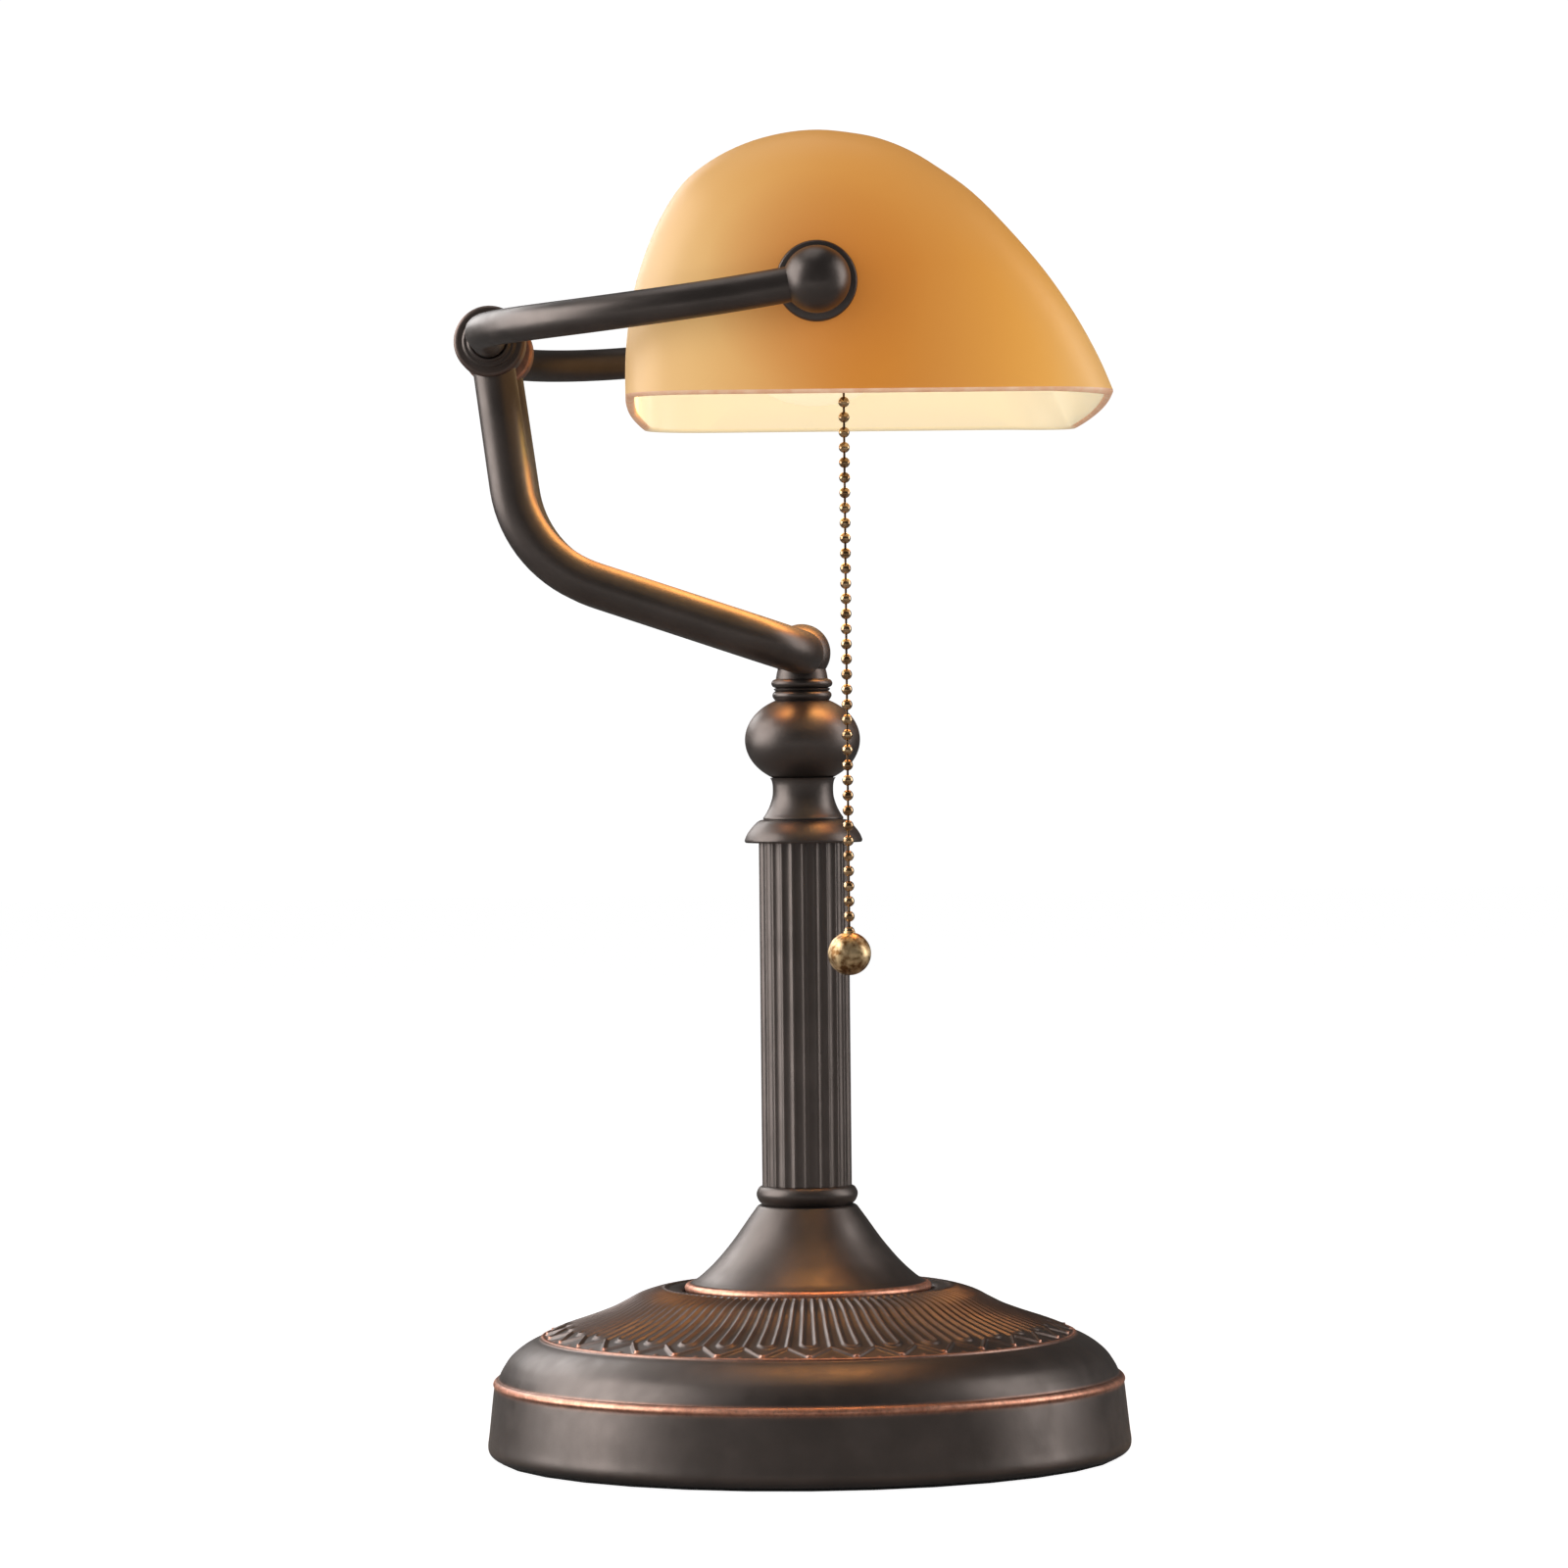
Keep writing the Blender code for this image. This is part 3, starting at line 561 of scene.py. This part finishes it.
def make_column():
    """The turned pieces from the cone up to the ring under the elbow."""
    cone = [(BORE, 76.0), (14.6, 76.0)]
    cone += curved([(15.2, 75.6), (17.9, 71.9), (22.6, 65.3), (27.9, 59.0), (32.6, 54.6), (35.4, 52.7)], 8)
    cone += curved([(35.4, 52.7), (36.7, 52.4), (37.5, 51.4), (37.2, 50.2), (36.3, 49.6)], 4)[1:]
    cone += [(33.6, 49.5), (31.4, 52.6), (26.0, 57.7), (16.3, 71.0), (14.2, 74.0), (BORE, 74.0)]

    def worn_foot(p):
        return smooth_step(35.5, 36.2, math.hypot(p.x, p.y)) * smooth_step(49.8, 50.4, p.z)

    bronze_piece("base_cone_fine", turned("base_cone_fine", cone, steps=144, rub=worn_foot), "base_cone")

    foot = [(BORE, 82.0), (13.2, 82.0)]
    foot += curved([(13.2, 82.0), (14.6, 81.3), (15.4, 79.4), (14.8, 77.4), (13.4, 75.95)], 5)[1:]
    foot += [(BORE, 75.95)]
    bronze_piece("column_foot_ring_fine", turned("column_foot_ring_fine", foot), "column_foot_ring")

    cap = [(BORE, 193.0), (11.6, 193.0)]
    cap += curved([
        (11.9, 192.95), (13.4, 192.6), (14.9, 191.4), (16.2, 189.9), (17.1, 188.6), (17.7, 187.3),
        (17.9, 186.5), (17.6, 185.95),
    ], 5)[1:]
    cap += [(BORE, 185.95)]
    bronze_piece("column_cap_fine", turned("column_cap_fine", cap), "column_cap")

    spool = [(BORE, 205.55)]
    spool += curved([
        (10.0, 205.55), (9.5, 204.7), (9.2, 203.0), (9.3, 200.0), (10.2, 197.0), (11.3, 194.8), (11.9, 193.9),
        (12.2, 193.4), (12.1, 192.95),
    ], 6)
    spool += [(BORE, 192.95)]
    bronze_piece("neck_spool_fine", turned("neck_spool_fine", spool), "neck_spool")

    knop = [(BORE, 229.0)] + arc(13.5, 217.1, 62, -59, 28, 17.5) + [(BORE, 205.5)]
    bronze_piece("ball_knop_fine", turned("ball_knop_fine", knop), "ball_knop")

    ring = [(BORE, 231.9), (8.1, 231.9)]
    ring += curved([(8.1, 231.9), (8.8, 231.3), (9.0, 230.6), (8.8, 229.9), (8.1, 228.95)], 4)[1:]
    ring += [(BORE, 228.95)]
    bronze_piece("neck_ring_fine", turned("neck_ring_fine", ring), "neck_ring")


FLUTES, FLUTE_STEPS = 24, 14
COLUMN_R, FLUTE_DEPTH, FLUTE_SHARE = 13.6, 0.5, 0.78


def make_flutes():
    """The column: round-bottomed flutes between narrow flats, the whole way up."""
    count = FLUTES * FLUTE_STEPS
    bm = bmesh.new()
    rows = []
    for z in (81.95, 100.0, 120.0, 140.0, 160.0, 186.0):
        row = []
        for i in range(count):
            turn = 2 * math.pi * i / count
            across = abs(2 * (i % FLUTE_STEPS) / FLUTE_STEPS - 1)
            hollow = max(0.0, 1 - (across / FLUTE_SHARE) ** 2) ** 0.7
            radius = COLUMN_R - FLUTE_DEPTH * hollow
            row.append(bm.verts.new((radius * math.cos(turn) * MM, radius * math.sin(turn) * MM, z * MM)))
        rows.append(row)
    for row, after in zip(rows, rows[1:]):
        for quad in zip(row, row[1:] + row[:1], after[1:] + after[:1], after):
            bm.faces.new(quad)
    bm.faces.new(rows[0])
    bm.faces.new(rows[-1])
    bronze_piece("fluted_column_fine", finish_mesh(bm, "fluted_column_fine", 50), "fluted_column")


# ---------------------------------------------------------------- yoke and fork

KNEE = Vector((-83.5, 0, 271.7))
KNEE_BEND, CROSS_BEND = 36.0, 20.0
YOKE_R, YOKE_TAPER = 6.7, 0.35
HUB_X, HUB_Z, HUB_R = -92.3, 337.1, 10.65
FORK_Y, FORK_BEND, FORK_R = 143.0, 64.0, 5.1
END_BALL_R, END_BALL_SEAT = 9.6, 136.8
PATH_STEP = 2.5


def make_yoke():
    """The elbow, the bent tube with its two legs, and the eyes that hold the fork."""
    ring = curved([(7.9, 235.6), (8.9, 235.1), (9.3, 234.2), (8.9, 233.3), (7.9, 232.8)], 4)
    elbow = [(0, ELBOW_Z + 8.8)] + arc(8.8, ELBOW_Z, 88, -34, 24) + [(7.6, 237.4)] + ring[:-1]
    elbow += curved([(7.9, 232.8), (8.5, 232.6), (8.5, 232.3), (7.9, 231.85)], 2) + [(0, 231.85)]
    bronze_piece("elbow_fine", turned("elbow_fine", elbow), "elbow_fitting")

    top = Vector((HUB_X, 0, HUB_Z))
    leg = (KNEE - top).normalized()
    end = top + leg * 6.8
    corners = [Vector((x, y, z)) for x, y, z in (
        (end.x, -YOKE_Y, end.z), (KNEE.x, -YOKE_Y, KNEE.z), (0, -YOKE_Y, ELBOW_Z),
        (0, YOKE_Y, ELBOW_Z), (KNEE.x, YOKE_Y, KNEE.z), (end.x, YOKE_Y, end.z),
    )]
    path = rounded(corners, [KNEE_BEND, CROSS_BEND, CROSS_BEND, KNEE_BEND])
    taper = YOKE_TAPER / (end.z - ELBOW_Z)
    mesh = swept("yoke_fine", evenly(path, PATH_STEP), lambda p: YOKE_R - taper * (p.z - ELBOW_Z))
    bronze_piece("yoke_fine", mesh, "yoke_tube")

    for name, side in SIDES.items():
        eye = [
            (5.3, 11.3), (6.3, 11.3), (6.3, 9.5), (7.8, 9.5), (7.8, 7.5), (9.9, 7.5), (HUB_R, 6.8),
            (HUB_R, -6.9), (10.1, -7.5), (5.3, -7.5),
        ]
        centre = Vector((HUB_X, side * YOKE_Y, HUB_Z))
        # The copper on each eye's rim is part wear, part painted highlight: the far eye's lit rim gets far
        # more than the near one.
        edge_copper_and_highlight = 0.6 if name == "far" else 0.15

        def edge_wear_and_highlight(p, centre=centre, edge_copper_and_highlight=edge_copper_and_highlight):
            rim = smooth_step(9.8, 10.1, math.hypot(p.x - centre.x, p.z - centre.z))
            return edge_copper_and_highlight * rim * smooth_step(6.6, 6.9, abs(p.y - centre.y))

        mesh = turned(f"hub_eye_{name}_fine", eye, along(centre, (0, side, 0)), rub=edge_wear_and_highlight)
        soften(bronze_piece(f"hub_eye_{name}_fine", mesh, f"hub_eye_{name}"), 0.35)


def fork_height(x):
    """The fork rises from the eyes to the shade's pivot, ever more steeply."""
    return HUB_Z + (PIVOT.z - HUB_Z) * (max(0.0, x - HUB_X) / (PIVOT.x - HUB_X)) ** 1.7


def make_fork():
    """The long bent tube, its end balls, and the discs between the balls and the shade."""
    end_x = PIVOT.x - 6
    corners = [(end_x, -FORK_Y, 0), (HUB_X, -FORK_Y, 0), (HUB_X, FORK_Y, 0), (end_x, FORK_Y, 0)]
    flat = rounded(corners, [FORK_BEND] * 2, 2.5)
    path = [Vector((p.x, p.y, fork_height(p.x))) for p in evenly(flat, PATH_STEP)]
    bronze_piece("fork_fine", swept("fork_fine", path, lambda p: FORK_R), "fork_tube")
    seat = -math.degrees(math.asin((FORK_Y - END_BALL_SEAT) / END_BALL_R))
    for name, side in SIDES.items():
        place = along((PIVOT.x, 0, PIVOT.z), (0, side, 0))
        ball = [(0, FORK_Y + END_BALL_R)] + arc(END_BALL_R, FORK_Y, 87, seat, 28) + [(0, END_BALL_SEAT)]
        mesh = turned(f"fork_ball_{name}_fine", ball, place)
        bronze_piece(f"fork_ball_{name}_fine", mesh, f"fork_end_ball_{name}")
        disc = [(5.4, 136.6), (10.2, 136.6), (11.3, 136.2), (11.6, 135.5), (11.6, 134.9), (5.4, 134.9)]
        mesh = turned(f"end_disc_{name}_fine", disc, place)
        soften(bronze_piece(f"end_disc_{name}_fine", mesh, f"end_disc_{name}"), 0.2)


# ---------------------------------------------------------------- shade

SHADE_HALF, GLASS_WALL = 133.5, 2.6
SHADE_CORNER, SHADE_BOW, CORNER_STEPS = 20.0, 2.6, 14
END_RINGS, RIM_STEPS = (0.3, 0.6, 0.85, 1.0), 40
HOLE_R = 5.3
GLASS_INSIDE, GLASS_EDGE = 1, 2
# The shade's section, from its back rim over the top to its front rim, as (x, z) from the pivot.
OUTLINE = [
    (-54.1, -31.7), (-54.15, -24.5), (-53.8, -16.0), (-52.2, -4.0), (-48.9, 7.7), (-44.1, 19.1),
    (-37.6, 29.1), (-29.4, 35.8), (-19.7, 40.6), (-9.3, 43.4), (1.0, 44.3), (11.4, 43.2), (18.9, 41.5),
    (26.7, 38.3), (34.3, 33.7), (44.6, 26.1), (54.8, 15.6), (64.8, 3.7), (73.4, -9.0), (80.0, -21.3),
    (84.4, -31.7),
]


def shade_point(x, y, z):
    """A point of the shade in metres, with its x and z taken from the pivot."""
    return Vector((PIVOT.x + x, y, PIVOT.z + z)) * MM


def shade_sections():
    """(y, how far the outline is drawn in) along the shade, with round corners at both ends."""
    corner = []
    for i in range(CORNER_STEPS + 1):
        turn = math.pi / 2 * i / CORNER_STEPS
        corner.append((SHADE_HALF - SHADE_CORNER * (1 - math.sin(turn)), SHADE_CORNER * (1 - math.cos(turn))))
    straight = [(y, 0.0) for y in range(-108, 109, 12)]
    return [(-y, inset) for y, inset in reversed(corner)] + straight + corner


def close_end(bm, row, side):
    """A flat end wall, run in from the last section and the line of the rim to the hole for the nipple."""
    first, last = row[0].co, row[-1].co
    rim = [bm.verts.new(last.lerp(first, i / RIM_STEPS)) for i in range(1, RIM_STEPS)]
    ring = loop = row + rim
    for share in END_RINGS:
        inner = []
        for vertex in loop:
            away = Vector((vertex.co.x / MM - PIVOT.x, vertex.co.z / MM - PIVOT.z))
            spot = away.lerp(away.normalized() * HOLE_R, share)
            inner.append(bm.verts.new(shade_point(spot.x, side * SHADE_HALF, spot.y)))
        for quad in zip(ring, ring[1:] + ring[:1], inner[1:] + inner[:1], inner):
            bm.faces.new(quad)
        ring = inner


def make_shade():
    """The glass: an open half-barrel with rounded corners, a slight bow and flat ends."""
    outline = through(OUTLINE, 4)
    rim = OUTLINE[0][1]
    centre = (OUTLINE[0][0] + OUTLINE[-1][0]) / 2
    half = (OUTLINE[-1][0] - OUTLINE[0][0]) / 2
    height = max(p.y for p in outline) - rim
    bm = bmesh.new()
    rows = []
    for y, inset in shade_sections():
        bow = SHADE_BOW * (1 - (y / SHADE_HALF) ** 2)
        wide, high = 1 + (bow - inset) / half, 1 + (bow / 2 - inset) / height
        row = [shade_point(centre + (p.x - centre) * wide, y, rim + (p.y - rim) * high) for p in outline]
        rows.append([bm.verts.new(point) for point in row])
    for row, after in zip(rows, rows[1:]):
        for quad in zip(row, row[1:], after[1:], after):
            bm.faces.new(quad)
    close_end(bm, rows[0], -1)
    close_end(bm, rows[-1], 1)
    mesh = finish_mesh(bm, "shade_fine", 60)
    top = max(mesh.polygons, key=lambda f: f.center.z)
    if top.normal.z < 0:
        mesh.flip_normals()
    thing = piece("shade_fine", mesh, "shade", glass, "shade_glass")
    wall = thing.modifiers.new("wall", "SOLIDIFY")
    wall.thickness = GLASS_WALL * MM
    wall.offset = -1
    wall.use_even_offset = True
    wall.material_offset = GLASS_INSIDE
    wall.material_offset_rim = GLASS_EDGE
    soften(thing, 1.2, 3, 55).material = GLASS_EDGE


# ---------------------------------------------------------------- socket, bulb and pull chain


def make_socket():
    """The brass socket at the near end of the shade, and its bulb."""
    place = along((PIVOT.x, 0, PIVOT.z), (0, -1, 0))
    cap = [(5.4, 128.0), (7.0, 128.0)]
    cap += curved([(7.6, 124.4), (9.5, 122.0), (12.6, 119.8), (15.0, 117.3), (16.1, 114.4), (16.3, 112.4)], 5)
    cap += [(15.5, 112.4), (14.2, 116.4), (10.8, 119.3), (7.0, 122.6), (5.4, 123.0)]
    soften(brass_piece("socket_cap_fine", turned("socket_cap_fine", cap, place), "socket_cap"), 0.3)

    shell = [
        (16.3, 112.0), (16.3, 108.0), (16.9, 107.4), (16.9, 106.6), (16.3, 106.0), (16.3, 69.0), (16.9, 68.4),
        (16.9, 67.6), (16.3, 67.0), (16.3, 64.0), (15.5, 64.0), (15.5, 112.0),
    ]
    soften(brass_piece("socket_shell_fine", turned("socket_shell_fine", shell, place), "socket_shell"), 0.2)

    bulb = [(0.0, 68.0)]
    bulb += curved([
        (12.9, 68.0), (13.6, 62.0), (15.5, 55.0), (20.0, 43.0), (26.0, 32.0), (29.4, 22.0), (30.0, 14.0),
        (28.6, 5.0), (24.5, -3.5), (17.0, -10.3), (9.0, -13.4), (0.0, -14.0),
    ], 6)
    piece("bulb_fine", turned("bulb_fine", bulb, place, 64), "stand", [frosted], "bulb_glass")


BEAD_R, BEAD_PITCH = 1.6, 4.4
LINK_R, LINK_LENGTH, LINK_SHADE = 0.36, 2.2, 1


def make_chain(x, y, top, length):
    """A row of beads down from the guide's mouth, with a thin link below each, painted near-black for the
    shade between the beads.
    """
    bm = bmesh.new()
    for i in range(round(length / BEAD_PITCH)):
        spot = Vector((x, y, top - BEAD_PITCH * (i + 0.5))) * MM
        bead = Matrix.Translation(spot)
        bmesh.ops.create_uvsphere(bm, u_segments=20, v_segments=14, radius=BEAD_R * MM, matrix=bead)
        below = Matrix.Translation(spot - Vector((0, 0, BEAD_PITCH / 2 * MM)))
        link = bmesh.ops.create_cone(bm, cap_ends=True, segments=10, radius1=LINK_R * MM, radius2=LINK_R * MM,
                                     depth=LINK_LENGTH * MM, matrix=below)
        for face in {face for vertex in link["verts"] for face in vertex.link_faces}:
            face.material_index = LINK_SHADE
    mesh = finish_mesh(bm, "pull_chain_fine", 50)
    return piece("pull_chain_fine", mesh, "pull", [brass, link_shade_brass], "pull_chain")


def make_pull():
    """The beaded chain and the ball at its end."""
    low, high = low_and_high("pull_chain")
    x, y = (low.x + high.x) / 2, (low.y + high.y) / 2
    chain = make_chain(x, y, high.z, high.z - low.z)
    low, high = low_and_high("pull_ball")
    radius = (high.x - low.x) / 2
    centre = low.z + radius
    top = centre + radius
    ball = [(0, top + 0.5), (1.3, top + 0.5), (1.7, top + 0.2)]
    ball += arc(radius, centre, 74, -88, 30) + [(0, centre - radius)]
    mesh = turned("pull_ball_fine", ball, Matrix.Translation((x, y, 0)), 64)
    knob = piece("pull_ball_fine", mesh, "pull", [worn_brass], "pull_ball")
    for thing in (chain, knob):
        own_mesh(thing)


def dress_nodes():
    """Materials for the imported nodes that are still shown."""
    finishes = {
        "base_pad": felt, "base_weight": iron, "rod_washer": steel, "rod_nut": steel, "center_rod": steel,
        "cord_gland": plastic, "switch_body": plastic, "socket_liner": fibre, "screw_shell": brass,
        "center_contact": brass, "bulb_cap": steel, "chain_guide": brass, "shade_nut_far": brass,
    }
    for name in SIDES:
        finishes[f"outer_gasket_{name}"] = finishes[f"inner_gasket_{name}"] = rubber
        finishes[f"inner_washer_{name}"] = steel
        finishes[f"threaded_nipple_{name}"] = brass
    for name, finish in finishes.items():
        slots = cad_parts[name].material_slots
        for one in slots:
            one.material = finish
        if not slots:
            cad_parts[name].data.materials.append(finish)


# ---------------------------------------------------------------- floor, light and camera


def area_light(name, place, aim, size, power, matt=True, gloss=True, colour=(1, 1, 1)):
    """A softbox. It can be kept out of matt surfaces, or out of the reflections in shiny ones."""
    data = bpy.data.lights.new(name, "AREA")
    data.shape = "RECTANGLE"
    data.size, data.size_y = size
    data.energy = power
    data.color = colour
    light = bpy.data.objects.new(name, data)
    light.visible_diffuse = matt
    light.visible_glossy = gloss
    light.location = place
    light.rotation_euler = (Vector(aim) - Vector(place)).to_track_quat("-Z", "Y").to_euler()
    bpy.context.scene.collection.objects.link(light)


def make_floor():
    """A white floor, just below the pad so the two don't flicker together."""
    bm = bmesh.new()
    bmesh.ops.create_grid(bm, x_segments=1, y_segments=1, size=6.0)
    mesh = bpy.data.meshes.new("floor")
    bm.to_mesh(mesh)
    bm.free()
    made, tree, shader = material("floor_white", (0.55, 0.55, 0.55), 0.9)
    shader.inputs["Specular IOR Level"].default_value = 0.1
    shader.inputs["Emission Color"].default_value = (1, 1, 1, 1)
    seen = tree.nodes.new("ShaderNodeLightPath")
    tree.links.new(times(tree, seen.outputs["Is Camera Ray"], 0.95), shader.inputs["Emission Strength"])
    mesh.materials.append(made)
    floor = bpy.data.objects.new("floor", mesh)
    bpy.context.scene.collection.objects.link(floor)
    floor.location.z = -0.0005


def make_world():
    """White to the camera, and dim in all other directions so that the softboxes shape the lamp."""
    world = bpy.data.worlds.new("studio")
    world.use_nodes = True
    tree = world.node_tree
    seen = tree.nodes.new("ShaderNodeLightPath")
    back = tree.nodes["Background"]
    strength = tree.nodes.new("ShaderNodeMapRange")
    strength.inputs["To Min"].default_value = 0.085
    strength.inputs["To Max"].default_value = 1.05
    tree.links.new(seen.outputs["Is Camera Ray"], strength.inputs["Value"])
    tree.links.new(strength.outputs["Result"], back.inputs["Strength"])
    back.inputs["Color"].default_value = (1, 1, 1, 1)
    bpy.context.scene.world = world


def make_lights():
    """Softboxes round the lamp, the bulb's light on the parts below it, and a little from the floor."""
    target = (0, 0, 0.2)
    area_light("left_gloss", (-1.2, -0.05, 0.55), target, (1.25, 1.5), 30, matt=False)
    area_light("right_gloss", (1.3, 0.05, 0.55), target, (0.7, 1.4), 12, matt=False)
    area_light("back_gloss", (-0.9, 1.1, 0.95), target, (0.9, 0.8), 10, matt=False)
    area_light("left_fill", (-0.9, -1.2, 0.7), target, (1.5, 1.2), 8.5, gloss=False)
    area_light("right_fill", (1.2, -0.9, 0.7), target, (1.2, 1.2), 6, gloss=False)
    area_light("top_box", (-0.2, 0.1, 1.5), target, (1.0, 0.8), 3)
    mouth = (0.012, -0.004, 0.305)
    below = (mouth[0], mouth[1], 0)
    yoke, red, amber = (-0.05, 0, 0.19), (1.0, 0.33, 0.10), (1.0, 0.62, 0.12)
    area_light("bulb_glow", mouth, below, (0.13, 0.04), 0.17, colour=red)
    area_light("shade_glow", (0.0, -0.004, 0.315), yoke, (0.03, 0.1), 0.08, colour=amber)
    area_light("floor_bounce", (0.0, -0.9, 0.06), (0, 0, 0.03), (1.6, 0.12), 0.45)
    bpy.context.scene.view_settings.view_transform = "Standard"
    bpy.context.scene.view_settings.look = "None"


def make_camera():
    """A long lens 2 m in front, a little below the elbow's height, with a slight roll."""
    data = bpy.data.cameras.new("camera")
    data.lens = 151.2
    data.sensor_width = 36
    data.shift_y = -0.05
    camera = bpy.data.objects.new("camera", data)
    camera.location = (-0.0055, -2.0, 0.2275)
    camera.rotation_euler = (math.radians(90), math.radians(0.6), 0)
    bpy.context.scene.collection.objects.link(camera)
    bpy.context.scene.camera = camera


make_base()
make_column()
make_flutes()
make_yoke()
make_fork()
make_shade()
make_socket()
make_pull()
dress_nodes()
make_floor()
make_world()
make_lights()
make_camera()
